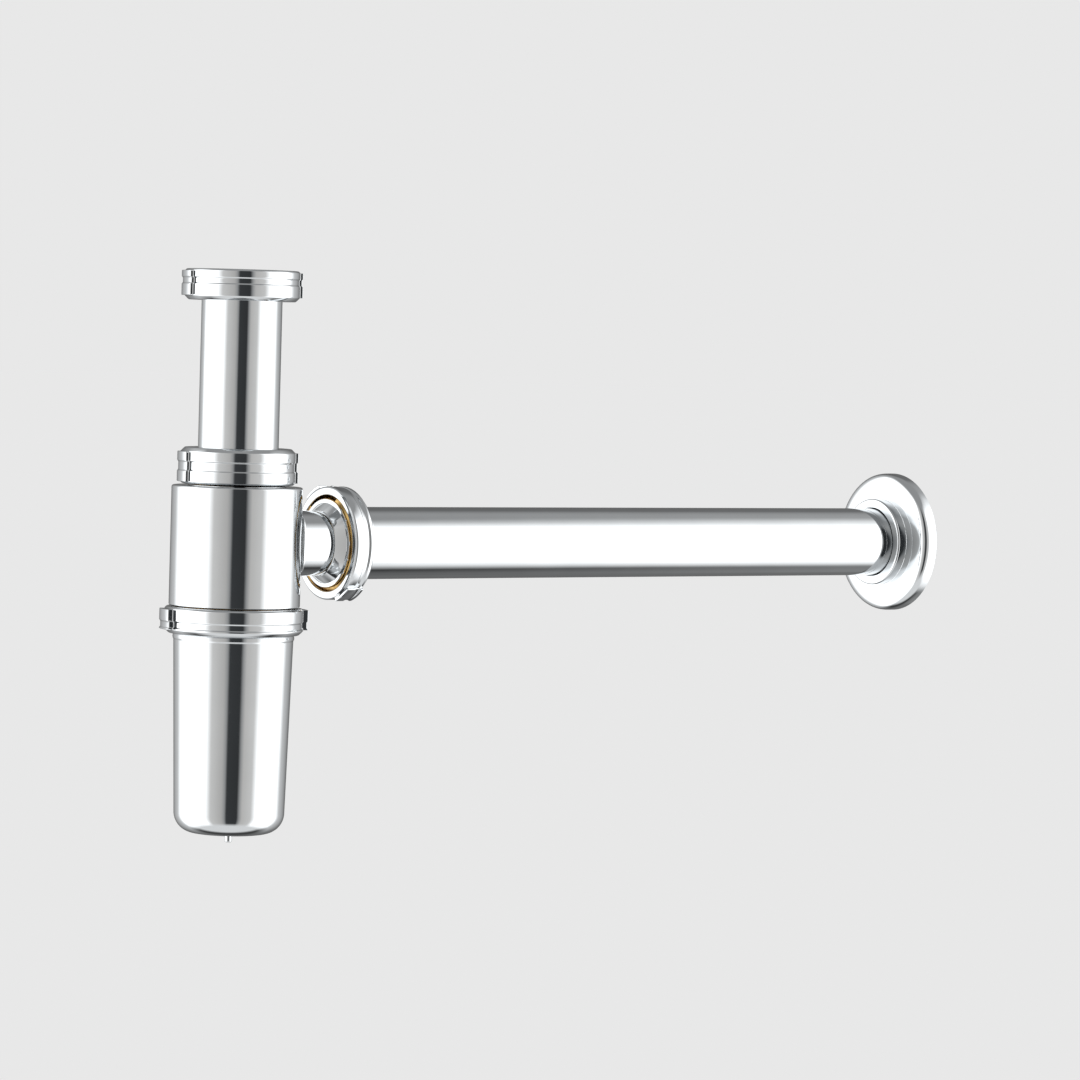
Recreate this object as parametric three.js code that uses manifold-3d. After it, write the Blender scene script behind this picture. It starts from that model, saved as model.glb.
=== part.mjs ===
// Bottle trap for a wash basin: an inlet tube, a barrel with a screwed-on cup, and an outlet pipe
// to the wall.
// Millimetres, +Z up. The origin is the middle of the inlet washer's top face, where the basin waste seats.
// The barrel's axis is Z, the outlet pipe runs along +X to the wall flange.
import * as THREE from 'three';
import { mergeVertices } from 'three/addons/utils/BufferGeometryUtils.js';
import Module from 'manifold-3d';

const wasm = await Module();
wasm.setup();

// --- Driving dimensions ---------------------------------------------------------------------------

const SIDES = 32; // facets round every turned piece
const GAP = 0.3; // clearance left between neighbouring pieces
const SHEET = 1.2; // drawn brass tube wall
const CAST = 1.8; // barrel, neck and flange wall

const TUBE_R = 17.5; // inlet tube, outside
const TUBE_END = -186; // bottom of the dip tube
const PIPE_R = 16; // outlet pipe, outside (32 mm)
const PIPE_TAIL = 12; // how far the pipe runs on behind the flange into the wall
const WALL_X = 372; // wall plane, from the barrel's axis

const WASHER = 2; // thickness of a flat sealing washer
const COLLAR = 1.2; // thickness of a tube's rolled collar
const SLIP = 0.8; // thickness of a slip ring
const THREAD_R = 20.9; // G 1 1/4 male thread, outside
const LIP = 1.5; // thickness of a nut's inner lip
const SEAT_R = 19.7; // outside of the collars and flat seals that sit inside a nut

const NUT_R = 25; // G 1 1/4 nut, turned outside
const NUT_LUG_R = 26.4; // over its lugs
const NUT_CHAMFER = 1.8; // on the rim of its closed end
const OPEN_CHAMFER = 0.8; // on the rim of its open end
const GROOVE = 0.5; // depth of the turned groove round a nut
const LUG_WIDTH = 11; // along the rim
const LUG_TURN = 166; // the first lug's angle from +X, in degrees
const BRANCH_LUG_TURN = 30; // the same on the branch nut, before it is laid on its side
const INLET_NUT_TOP = 7; // its open end stands above the washer
const TOP_NUT_TOP = -70.2;
const TOP_NUT_HEIGHT = 15.7;
const NECK_TOP = -77.6; // top of the barrel's threaded neck
const NECK_RIM = 0.9; // width of the flat left on that neck's rim, and of the seal's shoulder
const NECK_FLANGE_R = 22.9; // holds the neck under the barrel's top plate
const SEAL_TAPER = 5; // length of the seal's tapered nose
const SEAL_NOSE = 1.4; // thickness of its tip
const SEAL_SEAT = 1.8; // clearance round the tube at the bottom of the neck's taper

const BARREL_R = 28.5;
const BARREL_TOP = -86.7;
const BARREL_END = -139;
const BRANCH_Z = -111.7; // axis of the outlet
const BRANCH_R = 14.3; // outlet neck, outside
const BRANCH_START = 22.5; // the neck's inner end, inside the barrel
const BRANCH_FLARE = 3.4; // the cone where the neck opens out to its thread
const BRANCH_THREAD_X = 46; // where the neck opens into its threaded end
const BRANCH_THREAD_END = 50.5;
const BRANCH_NUT_X = 46.3;
const BRANCH_NUT_NECK = 4.3; // length of the narrow neck under the nut's lip
const BRANCH_NUT_NECK_R = 17.6;

const CUP_THREAD_R = 27.6; // fine male thread under the barrel, outside
const CUP_THREAD_END = -144.2; // bottom of that thread
const FOOT_LENGTH = 8; // how far the threaded foot reaches up inside the barrel
const CUP_NUT_R = 30.2;
const CUP_NUT_LUG_R = 32.6;
const CUP_NUT_TOP = -139.4;
const CUP_R = 26.2; // under the cup's flange
const CUP_FOOT_R = 24.1; // where its round corner starts
const CUP_FLOOR = -237.8;
const CUP_CORNER = 9;
const PIP_R = 1.6; // cast centre pip under the cup
const PIP_LENGTH = 4.2;
const PIP_EDGE = 0.5;
const BEAD = 0.25; // how far the bead under the cup nut stands out
const BEAD_HALF = 1.2; // half its width

const FLANGE_R = 32.8;
const FLANGE_COLLAR_R = 20.6;
const FLANGE_DEPTH = 14;
const FLANGE_DOME = 9; // height of the dome, without its collar
const DOME_FULLNESS = 0.55; // 1 is an elliptical dome, less is squarer
const FLANGE_RIM = 2.6; // the straight rim against the wall, both deep and wide

// --- Materials ------------------------------------------------------------------------------------

const chrome = { color: 0xdfe3e6, roughness: 0.08, metalness: 1 };
const brass = { color: 0xb8924a, roughness: 0.35, metalness: 1 };
const rubber = { color: 0x1d1d1e, roughness: 0.75, metalness: 0 };
const nylon = { color: 0xe9e7df, roughness: 0.45, metalness: 0 };

// --- Helpers --------------------------------------------------------------------------------------

// A solid of revolution about Z from a closed outline of [radius, z] points, anticlockwise.
function turned(outline) {
  const points = [...outline, outline[0]].map(([r, z]) => new THREE.Vector2(r, z));
  return new THREE.LatheGeometry(points, SIDES).rotateX(Math.PI / 2);
}

// A flat ring between two heights.
function ring(inner, outer, low, high) {
  return turned([[inner, low], [outer, low], [outer, high], [inner, high]]);
}

// Points on an arc about [r, z], angles in degrees from the +r direction.
function arc(r, z, radius, from, to, steps) {
  return Array.from({ length: steps + 1 }, (_, i) => {
    const a = THREE.MathUtils.degToRad(from + ((to - from) * i) / steps);
    return [r + radius * Math.cos(a), z + radius * Math.sin(a)];
  });
}

function toSolid(geometry) {
  const plain = geometry.clone();
  plain.deleteAttribute('normal');
  plain.deleteAttribute('uv');
  const merged = mergeVertices(plain, 1e-4);
  return new wasm.Manifold(new wasm.Mesh({
    numProp: 3,
    vertProperties: new Float32Array(merged.attributes.position.array),
    triVerts: new Uint32Array(merged.index.array),
  }));
}

function toGeometry(solid) {
  const mesh = solid.getMesh();
  const geometry = new THREE.BufferGeometry();
  geometry.setAttribute('position', new THREE.BufferAttribute(mesh.vertProperties, 3));
  geometry.setIndex(new THREE.BufferAttribute(mesh.triVerts, 1));
  return geometry;
}

// Two opposite spanner lugs standing on a turned nut between two heights.
function withLugs(nut, radius, lugRadius, low, high, turn) {
  const buried = 1;
  const depth = lugRadius - radius + buried;
  let solid = toSolid(nut);
  for (let i = 0; i < 2; i += 1) {
    const lug = new THREE.BoxGeometry(depth, LUG_WIDTH, high - low);
    lug.translate(lugRadius - depth / 2, 0, (low + high) / 2);
    lug.rotateZ(THREE.MathUtils.degToRad(180 * i + turn));
    solid = solid.add(toSolid(lug));
  }
  return toGeometry(solid);
}

const assembly = new THREE.Group();

function piece(parent, name, geometry, look) {
  const mesh = new THREE.Mesh(geometry, new THREE.MeshStandardMaterial(look));
  mesh.name = name;
  parent.add(mesh);
  return mesh;
}

// --- Nuts -----------------------------------------------------------------------------------------

// A turned nut with its open, threaded end up at z = 0 and its lip at the bottom.
// bore clears the thread and hole clears the tube. groove is where the turned groove starts and
// ends, as shares of the height; neck is the [length, radius] of a narrow neck under the lip;
// turn is the first lug's angle.
function nut({ radius, lugRadius, bore, hole, height, groove, neck, turn }) {
  const [grooveTop, grooveEnd] = groove.map((share) => -share * height);
  const [neckLength, neckR] = neck ?? [0, 0];
  const outside = [
    ...(neck ? [[neckR, -height - neckLength], [neckR, -height]] : []),
    [radius - NUT_CHAMFER, -height],
    [radius, -height + NUT_CHAMFER],
    [radius, grooveEnd - GROOVE],
    [radius - GROOVE, grooveEnd],
    [radius - GROOVE, grooveTop],
    [radius, grooveTop + GROOVE],
    [radius, -OPEN_CHAMFER],
    [radius - OPEN_CHAMFER, 0],
  ];
  const profile = [
    [hole, -height - neckLength],
    ...outside,
    [bore, 0],
    [bore, -height + LIP],
    [hole, -height + LIP],
  ];
  const [low, high] = [-height + NUT_CHAMFER, -OPEN_CHAMFER];
  return withLugs(turned(profile), radius, lugRadius, low, high, turn);
}

const smallNut = {
  radius: NUT_R,
  lugRadius: NUT_LUG_R,
  bore: THREAD_R + GAP,
};

// --- Inlet ----------------------------------------------------------------------------------------

function addInlet() {
  const collarTop = -WASHER - GAP;
  const collarEnd = collarTop - COLLAR;
  const slipTop = collarEnd - GAP;

  piece(assembly, 'inlet_washer', ring(TUBE_R - SHEET + 0.1, SEAT_R, -WASHER, 0), rubber);
  piece(assembly, 'inlet_tube', turned([
    [TUBE_R - SHEET, TUBE_END],
    [TUBE_R, TUBE_END],
    [TUBE_R, collarEnd],
    [SEAT_R, collarEnd],
    [SEAT_R, collarTop],
    [TUBE_R - SHEET, collarTop],
  ]), chrome);
  piece(assembly, 'inlet_slip_ring', ring(TUBE_R + GAP, SEAT_R, slipTop - SLIP, slipTop), nylon);

  const lipTop = slipTop - SLIP - GAP;
  piece(assembly, 'inlet_nut', nut({
    ...smallNut,
    hole: TUBE_R + GAP,
    height: INLET_NUT_TOP - lipTop + LIP,
    groove: [0.3, 0.46],
    turn: LUG_TURN,
  }), chrome).position.z = INLET_NUT_TOP;
}

// --- Barrel and its top joint ---------------------------------------------------------------------

function addTopJoint() {
  const ringTop = TOP_NUT_TOP - LIP - GAP;
  const sealTop = ringTop - SLIP - GAP;
  const sealR = THREAD_R - NECK_RIM;
  const sealEnd = NECK_TOP - SEAL_TAPER + 2 * GAP;

  piece(assembly, 'top_friction_ring', ring(TUBE_R + GAP, sealR, ringTop - SLIP, ringTop), nylon);
  piece(assembly, 'top_taper_seal', turned([
    [TUBE_R + GAP, sealEnd],
    [TUBE_R + SEAL_NOSE, sealEnd],
    [sealR - NECK_RIM, NECK_TOP],
    [sealR, NECK_TOP + 2 * GAP],
    [sealR, sealTop],
    [TUBE_R + GAP, sealTop],
  ]), rubber);
  const lifted = new THREE.Group();
  lifted.position.z = TOP_NUT_TOP - TOP_NUT_HEIGHT;
  lifted.rotation.x = Math.PI;
  assembly.add(lifted);
  piece(lifted, 'top_nut', nut({
    ...smallNut,
    hole: TUBE_R + GAP,
    height: TOP_NUT_HEIGHT,
    groove: [0.38, 0.6],
    turn: -LUG_TURN,
  }), chrome);
}

function addBarrel() {
  const plateEnd = BARREL_TOP - CAST;
  const footTop = BARREL_END + FOOT_LENGTH;
  const branchHole = new THREE.CylinderGeometry(BRANCH_R + GAP, BRANCH_R + GAP, BARREL_R, SIDES);
  branchHole.rotateZ(Math.PI / 2).translate(BARREL_R, 0, BRANCH_Z);

  const shell = turned([
    [BARREL_R - CAST, BARREL_END],
    [BARREL_R, BARREL_END],
    [BARREL_R, BARREL_TOP - 0.5],
    [BARREL_R - 0.5, BARREL_TOP],
    [THREAD_R + GAP, BARREL_TOP],
    [THREAD_R + GAP, plateEnd],
    [BARREL_R - CAST, plateEnd],
  ]);
  piece(assembly, 'barrel', toGeometry(toSolid(shell).subtract(toSolid(branchHole))), chrome);
  piece(assembly, 'top_neck', turned([
    [TUBE_R + GAP, plateEnd - CAST - GAP],
    [NECK_FLANGE_R, plateEnd - CAST - GAP],
    [NECK_FLANGE_R, plateEnd - GAP],
    [THREAD_R, plateEnd - GAP],
    [THREAD_R, NECK_TOP],
    [THREAD_R - NECK_RIM, NECK_TOP],
    [TUBE_R + SEAL_SEAT, NECK_TOP - SEAL_TAPER],
    [TUBE_R + GAP, NECK_TOP - SEAL_TAPER],
  ]), brass);
  const inside = BARREL_R - CAST - GAP;
  piece(assembly, 'foot_ring', turned([
    [inside - CAST, CUP_THREAD_END],
    [CUP_THREAD_R, CUP_THREAD_END],
    [CUP_THREAD_R, BARREL_END - GAP],
    [inside, BARREL_END - GAP],
    [inside, footTop],
    [inside - CAST, footTop],
  ]), brass);
}

// --- Cup ------------------------------------------------------------------------------------------

function addCup() {
  const washerTop = CUP_THREAD_END - GAP;
  const flangeTop = washerTop - WASHER - GAP;
  const flangeEnd = flangeTop - COLLAR;
  const slipTop = flangeEnd - GAP;
  const nutEnd = slipTop - SLIP - GAP - LIP;
  const beadZ = nutEnd - 1.5;
  const cornerZ = CUP_FLOOR + CUP_CORNER;
  const cornerR = CUP_FOOT_R - CUP_CORNER;

  piece(assembly, 'cup_washer', ring(CUP_R - SHEET, CUP_THREAD_R, washerTop - WASHER, washerTop), rubber);
  piece(assembly, 'cup', turned([
    [0, CUP_FLOOR - PIP_LENGTH],
    [PIP_R - PIP_EDGE, CUP_FLOOR - PIP_LENGTH],
    [PIP_R, CUP_FLOOR - PIP_LENGTH + PIP_EDGE],
    [PIP_R, CUP_FLOOR],
    ...arc(cornerR, cornerZ, CUP_CORNER, -90, 0, 6),
    [CUP_R - 0.1, beadZ - BEAD_HALF],
    [CUP_R + BEAD, beadZ - BEAD_HALF / 2],
    [CUP_R + BEAD, beadZ + BEAD_HALF / 2],
    [CUP_R, beadZ + BEAD_HALF],
    [CUP_R, flangeEnd],
    [CUP_THREAD_R, flangeEnd],
    [CUP_THREAD_R, flangeTop],
    [CUP_R - SHEET, flangeTop],
    ...arc(cornerR, cornerZ, CUP_CORNER - SHEET, 0, -90, 6),
    [0, CUP_FLOOR + SHEET],
  ]), chrome);
  piece(assembly, 'cup_slip_ring', ring(CUP_R + 2 * GAP, CUP_THREAD_R, slipTop - SLIP, slipTop), nylon);
  piece(assembly, 'cup_nut', nut({
    radius: CUP_NUT_R,
    lugRadius: CUP_NUT_LUG_R,
    bore: CUP_THREAD_R + GAP,
    hole: CUP_R + 2 * GAP,
    height: CUP_NUT_TOP - nutEnd,
    groove: [0.55, 0.75],
    turn: LUG_TURN,
  }), chrome).position.z = CUP_NUT_TOP;
}

// --- Outlet: everything here is turned about +X, so it is built along Z and laid over --------------

const outlet = new THREE.Group();
outlet.position.z = BRANCH_Z;
outlet.rotation.y = Math.PI / 2;
assembly.add(outlet);

function addBranch() {
  const neck = turned([
    [BRANCH_R - CAST, BRANCH_START],
    [BRANCH_R, BRANCH_START],
    [BRANCH_R, BRANCH_THREAD_X - BRANCH_FLARE],
    [BRANCH_R + BRANCH_FLARE, BRANCH_THREAD_X],
    [THREAD_R, BRANCH_THREAD_X],
    [THREAD_R, BRANCH_THREAD_END],
    [BRANCH_R - CAST, BRANCH_THREAD_END],
  ]);
  piece(outlet, 'branch_neck', neck, chrome);

  const washerEnd = BRANCH_THREAD_END + GAP + WASHER;
  const collarEnd = washerEnd + GAP + COLLAR;
  const slipEnd = collarEnd + GAP + SLIP;
  const washerX = BRANCH_THREAD_END + GAP;
  const bore = PIPE_R - SHEET;

  piece(outlet, 'outlet_washer', ring(bore + 0.1, SEAT_R, washerX, washerEnd), rubber);
  piece(outlet, 'outlet_pipe', turned([
    [bore, washerEnd + GAP],
    [SEAT_R, washerEnd + GAP],
    [SEAT_R, collarEnd],
    [PIPE_R, collarEnd],
    [PIPE_R, WALL_X + PIPE_TAIL],
    [bore, WALL_X + PIPE_TAIL],
  ]), chrome);
  piece(outlet, 'branch_slip_ring', ring(PIPE_R + GAP, SEAT_R, collarEnd + GAP, slipEnd), nylon);

  const turnedOver = new THREE.Group();
  turnedOver.position.z = BRANCH_NUT_X;
  turnedOver.rotation.x = Math.PI;
  outlet.add(turnedOver);
  piece(turnedOver, 'branch_nut', nut({
    ...smallNut,
    hole: PIPE_R + GAP,
    height: slipEnd + GAP + LIP - BRANCH_NUT_X,
    groove: [0.5, 0.66],
    turn: BRANCH_LUG_TURN,
    neck: [BRANCH_NUT_NECK, BRANCH_NUT_NECK_R],
  }), chrome);
}

// --- Wall flange ----------------------------------------------------------------------------------

function addFlange() {
  const front = WALL_X - FLANGE_DEPTH;
  const ringX = front + 3.5;
  const ringLength = 3;
  const hole = PIPE_R + GAP;
  const collarEdge = 0.8;
  const inside = FLANGE_COLLAR_R - CAST;
  // A full dome, from the rim at radius r up to its own height over the wall.
  const dome = (r, top) => [90, 72, 54, 36, 18, 0].map((a) => {
    const t = THREE.MathUtils.degToRad(a);
    return [
      FLANGE_COLLAR_R + (r - FLANGE_COLLAR_R) * Math.cos(t) ** DOME_FULLNESS,
      WALL_X - FLANGE_RIM - (top - FLANGE_RIM) * Math.sin(t) ** DOME_FULLNESS,
    ];
  });
  piece(outlet, 'wall_flange', turned([
    [hole, front],
    [FLANGE_COLLAR_R - collarEdge, front],
    [FLANGE_COLLAR_R, front + collarEdge],
    ...dome(FLANGE_R, FLANGE_DOME),
    [FLANGE_R, WALL_X],
    [FLANGE_R - FLANGE_RIM, WALL_X],
    ...dome(FLANGE_R - FLANGE_RIM, FLANGE_DOME - CAST).reverse(),
    [inside, WALL_X - FLANGE_DOME + CAST],
    [inside, ringX - GAP],
    [hole, ringX - GAP],
  ]), chrome);
  piece(outlet, 'flange_ring', ring(hole, inside - GAP, ringX, ringX + ringLength), rubber);
}

addInlet();
addTopJoint();
addBarrel();
addCup();
addBranch();
addFlange();

export default assembly;
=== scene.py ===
"""Bottle trap for a wash basin: its finished pieces, a plain studio and a camera."""

import math

import bmesh
import bpy
from bpy.props import FloatProperty, FloatVectorProperty, IntProperty, PointerProperty
from mathutils import Matrix, Vector


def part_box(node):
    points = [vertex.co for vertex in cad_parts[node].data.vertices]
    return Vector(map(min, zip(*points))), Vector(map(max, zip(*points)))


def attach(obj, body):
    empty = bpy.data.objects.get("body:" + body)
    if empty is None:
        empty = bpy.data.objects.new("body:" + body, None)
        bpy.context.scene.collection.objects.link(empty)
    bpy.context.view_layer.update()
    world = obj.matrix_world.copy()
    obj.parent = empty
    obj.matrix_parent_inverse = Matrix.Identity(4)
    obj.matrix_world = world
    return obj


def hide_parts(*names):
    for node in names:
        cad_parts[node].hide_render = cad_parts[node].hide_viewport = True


bl_info = {
    "name": "Bottle trap",
    "version": (1, 0, 0),
    "blender": (4, 5, 0),
    "location": "View3D > Sidebar > Trap",
    "description": "Models the pieces of a chromed basin trap around its packed frame",
    "category": "Object",
}

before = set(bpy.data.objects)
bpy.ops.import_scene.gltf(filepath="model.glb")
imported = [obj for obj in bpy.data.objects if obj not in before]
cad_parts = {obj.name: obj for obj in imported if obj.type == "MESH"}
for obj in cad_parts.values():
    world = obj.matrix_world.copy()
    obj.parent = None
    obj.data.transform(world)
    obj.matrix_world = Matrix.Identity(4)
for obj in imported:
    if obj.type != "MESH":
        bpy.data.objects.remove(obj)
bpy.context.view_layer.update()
MM = 0.001
POLISH = 0.15 * MM  # round left on a thin edge
NECK_RADIUS = 14.3 * MM  # outside of the outlet neck, where it leaves the barrel
BRIGHT_RIM = 1.4 * MM  # how far plating reaches into a nut's bore
NO_NECK = (0.0, 0.0)
LUG_TURN = 166  # degrees of a nut's first lug from +X
BRANCH_LUG_TURN = -30  # the same on the branch nut, before it is laid on its side
CAMERA_AZIMUTH = -35.7  # degrees round from -Y
AIM_SIDE, AIM_HEIGHT = 0.13204, -0.10641  # the point aimed at: to the camera's right, and up
SENSOR_WIDTH = 36
FLOOR_HEIGHT, FLOOR_RADIUS = -0.42, 40
FLOOR_GLOW = 0.98
STOP_SCALE = 3.0  # a colour ramp's stops are kept below 1, and brightened again after it
CEILING_GREY = 0.42


def linear(hex_colour):
    """An sRGB hex colour as linear red, green and blue."""
    channels = [int(hex_colour[i : i + 2], 16) / 255 for i in (1, 3, 5)]
    return [c / 12.92 if c <= 0.04045 else ((c + 0.055) / 1.055) ** 2.4 for c in channels]


def length(name, description, millimetres):
    return FloatProperty(
        name=name, description=description, default=millimetres * MM, unit="LENGTH", precision=5
    )


def colour(name, description, hex_colour):
    return FloatVectorProperty(
        name=name, description=description, default=linear(hex_colour), subtype="COLOR"
    )


class TrapSizes(bpy.types.PropertyGroup):
    """Sizes that the frame's boxes don't give by themselves."""

    tube_radius: length("Inlet tube radius", "Outside of the inlet tube", 17.5)
    pipe_radius: length("Outlet pipe radius", "Outside of the 32 mm outlet pipe", 16.0)
    sheet: length("Tube wall", "Wall of the drawn brass tubes", 1.2)
    casting: length("Cast wall", "Wall of the barrel, neck and flange", 1.8)
    gap: length("Running gap", "Clearance between neighbouring pieces", 0.3)
    edge: length("Edge radius", "Round left on a machined edge by polishing", 0.3)
    nut_radius: length("Nut radius", "Turned outside of the three G 1 1/4 nuts", 25.0)
    nut_lug_radius: length("Nut lug radius", "Over the spanner lugs of those nuts", 26.4)
    cup_nut_radius: length("Cup nut radius", "Turned outside of the cup's ring nut", 30.2)
    cup_nut_lug_radius: length("Cup nut lug radius", "Over the lugs of the ring nut", 32.6)
    lug_width: length("Lug width", "Width of a spanner lug along the rim", 11.0)
    thread_radius: length("Thread radius", "Over the G 1 1/4 male thread", 20.9)
    thread_depth: length("Thread depth", "Height of a G thread's ridge", 1.2)
    thread_pitch: length("Thread pitch", "G 1 1/4 has eleven threads to the inch", 2.309)
    cup_pitch: length("Cup thread pitch", "Fine thread of the ring nut", 1.5)
    lip: length("Nut lip", "Thickness of a nut's inner lip", 1.5)
    nut_chamfer: length("Nut chamfer", "Chamfer on the rim of a nut's closed end", 1.8)
    open_chamfer: length("Open chamfer", "Chamfer on the rim of a nut's open end", 0.8)
    groove_depth: length("Groove depth", "Depth of the turned groove round a nut", 0.5)
    facets: IntProperty(name="Facets", description="Steps round a turned piece", default=144, min=24)


class TrapFinishes(bpy.types.PropertyGroup):
    """Colours of the finishes."""

    chrome: colour("Chrome", "Polished chromium plate", "#CED1D3")
    brass: colour("Brass", "Bare machined brass", "#C2A063")
    rubber: colour("Rubber", "Black moulded seal", "#1C1C1D")
    nylon: colour("Nylon", "White moulded slip ring", "#E6E3DA")
    floor: colour("Floor", "Pale studio floor and surround", "#E8E8E8")


def sizes():
    return bpy.context.scene.trap_sizes


def finishes():
    return bpy.context.scene.trap_finishes


# --- Materials -----------------------------------------------------------------------------------


def set_inputs(tree, node, inputs):
    """Sets a node's sockets, each to a value or to the socket it is fed from."""
    for key, value in dict(inputs).items():
        if isinstance(value, bpy.types.NodeSocket):
            tree.links.new(value, node.inputs[key])
        else:
            node.inputs[key].default_value = value


def add(tree, kind, inputs=(), **settings):
    """Adds a node with its settings and inputs."""
    node = tree.nodes.new(kind)
    for key, value in settings.items():
        setattr(node, key, value)
    set_inputs(tree, node, inputs)
    return node


def new_material(name):
    """A material with a bare Principled shader: it, its tree and the shader, or None where it exists."""
    found = bpy.data.materials.get(name)
    if found:
        return found, None, None
    material = bpy.data.materials.new(name)
    material.use_nodes = True
    tree = material.node_tree
    tree.nodes.clear()
    shader = add(tree, "ShaderNodeBsdfPrincipled")
    add(tree, "ShaderNodeOutputMaterial", {"Surface": shader.outputs["BSDF"]})
    return material, tree, shader


def per_metre(millimetres):
    """A noise scale whose features are about this many millimetres across."""
    return 1 / (millimetres * MM)


def limits(value, low, high, start=0.0, end=1.0):
    """Map Range inputs that turn start..end into low..high."""
    return {"Value": value, "From Min": start, "From Max": end, "To Min": low, "To Max": high}


def around(tree, axis, along_mm, across_mm):
    """Object coordinates squeezed so that noise makes lines running round the given axis."""
    place = add(tree, "ShaderNodeTexCoord").outputs["Object"]
    fine, coarse = per_metre(along_mm), per_metre(across_mm)
    scale = (fine, coarse, coarse) if axis == "X" else (coarse, coarse, fine)
    return add(tree, "ShaderNodeMapping", {"Vector": place, "Scale": scale}).outputs["Vector"]


def shaded(shade, factors):
    """A linear colour with each channel multiplied by its factor, and its alpha."""
    return (*[c * f for c, f in zip(shade, factors)], 1.0)


def chrome_plate(axis):
    """Chromium on polished brass: a mirror, with faint buffing lines, a slow wave and a wiped haze."""
    material, tree, shader = new_material(f"polished_chrome_plate_{axis}")
    if tree is None:
        return material
    place = add(tree, "ShaderNodeTexCoord").outputs["Object"]
    haze = add(
        tree, "ShaderNodeTexNoise", {"Vector": place, "Scale": per_metre(22), "Detail": 3.0}
    ).outputs["Fac"]
    dust = add(
        tree, "ShaderNodeTexNoise", {"Vector": place, "Scale": per_metre(1.6), "Detail": 1.0}
    ).outputs["Fac"]
    specks = add(tree, "ShaderNodeMapRange", limits(dust, 0.0, 1.0, 0.62, 0.8)).outputs["Result"]
    blur = add(tree, "ShaderNodeMapRange", limits(haze, 0.03, 0.075, 0.3, 0.7)).outputs["Result"]
    spots = add(tree, "ShaderNodeMath", {0: specks, 1: 0.05, 2: blur}, operation="MULTIPLY_ADD")
    lines = add(
        tree,
        "ShaderNodeTexNoise",
        {"Vector": around(tree, axis, 0.35, 30), "Scale": 1.0, "Detail": 2.0},
    ).outputs["Fac"]
    wave = add(
        tree, "ShaderNodeTexNoise", {"Vector": place, "Scale": per_metre(16), "Detail": 1.0}
    ).outputs["Fac"]
    swell = add(
        tree, "ShaderNodeBump", {"Height": wave, "Strength": 1.0, "Distance": 0.035 * MM}
    ).outputs["Normal"]
    normal = add(
        tree,
        "ShaderNodeBump",
        {"Height": lines, "Strength": 1.0, "Distance": 0.0006 * MM, "Normal": swell},
    ).outputs["Normal"]
    wiped = add(tree, "ShaderNodeMapRange", limits(haze, 0.0, 1.0, 0.35, 0.65)).outputs["Result"]
    tint = add(
        tree,
        "ShaderNodeMix",
        {
            "Factor": wiped,
            "A": shaded(finishes().chrome, (0.965, 0.965, 0.965)),
            "B": (*finishes().chrome, 1.0),
        },
        data_type="RGBA",
    )
    set_inputs(tree, shader, {"Base Color": tint.outputs["Result"], "Metallic": 1.0})
    set_inputs(tree, shader, {"Roughness": spots.outputs[0], "Normal": normal})
    return material


def bare_brass(axis):
    """Machined brass in threads and bores: warm, satin, with tool lines and a dull brown stain."""
    material, tree, shader = new_material(f"machined_brass_{axis}")
    if tree is None:
        return material
    place = add(tree, "ShaderNodeTexCoord").outputs["Object"]
    cloud = add(
        tree, "ShaderNodeTexNoise", {"Vector": place, "Scale": per_metre(9), "Detail": 4.0}
    ).outputs["Fac"]
    stain = add(tree, "ShaderNodeMapRange", limits(cloud, 0.0, 1.0, 0.42, 0.68)).outputs["Result"]
    lines = add(
        tree,
        "ShaderNodeTexNoise",
        {"Vector": around(tree, axis, 0.5, 25), "Scale": 1.0, "Detail": 3.0},
    ).outputs["Fac"]
    bright = (*finishes().brass, 1.0)
    dull = shaded(finishes().brass, (0.52, 0.46, 0.42))
    tint = add(
        tree, "ShaderNodeMix", {"Factor": stain, "A": bright, "B": dull}, data_type="RGBA"
    )
    normal = add(
        tree, "ShaderNodeBump", {"Height": lines, "Strength": 1.0, "Distance": 0.006 * MM}
    ).outputs["Normal"]
    rough = add(tree, "ShaderNodeMapRange", limits(stain, 0.24, 0.46)).outputs["Result"]
    set_inputs(tree, shader, {"Base Color": tint.outputs["Result"], "Metallic": 1.0})
    set_inputs(tree, shader, {"Roughness": rough, "Normal": normal})
    return material


def black_rubber():
    """Moulded nitrile: nearly black, matt, with a fine grain and a little bloom."""
    material, tree, shader = new_material("moulded_nitrile_rubber")
    if tree is None:
        return material
    place = add(tree, "ShaderNodeTexCoord").outputs["Object"]
    cloud = add(
        tree, "ShaderNodeTexNoise", {"Vector": place, "Scale": per_metre(6), "Detail": 4.0}
    ).outputs["Fac"]
    bloom = add(tree, "ShaderNodeMapRange", limits(cloud, 0.0, 1.0, 0.45, 0.7)).outputs["Result"]
    dark = (*finishes().rubber, 1.0)
    pale = shaded(finishes().rubber, (2.4, 2.4, 2.4))
    tint = add(tree, "ShaderNodeMix", {"Factor": bloom, "A": dark, "B": pale}, data_type="RGBA")
    grain = add(
        tree, "ShaderNodeTexNoise", {"Vector": place, "Scale": per_metre(0.5), "Detail": 2.0}
    ).outputs["Fac"]
    normal = add(
        tree, "ShaderNodeBump", {"Height": grain, "Strength": 0.6, "Distance": 0.02 * MM}
    ).outputs["Normal"]
    rough = add(tree, "ShaderNodeMapRange", limits(bloom, 0.55, 0.75)).outputs["Result"]
    set_inputs(tree, shader, {"Base Color": tint.outputs["Result"], "IOR": 1.52})
    set_inputs(tree, shader, {"Roughness": rough, "Normal": normal})
    return material


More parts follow.
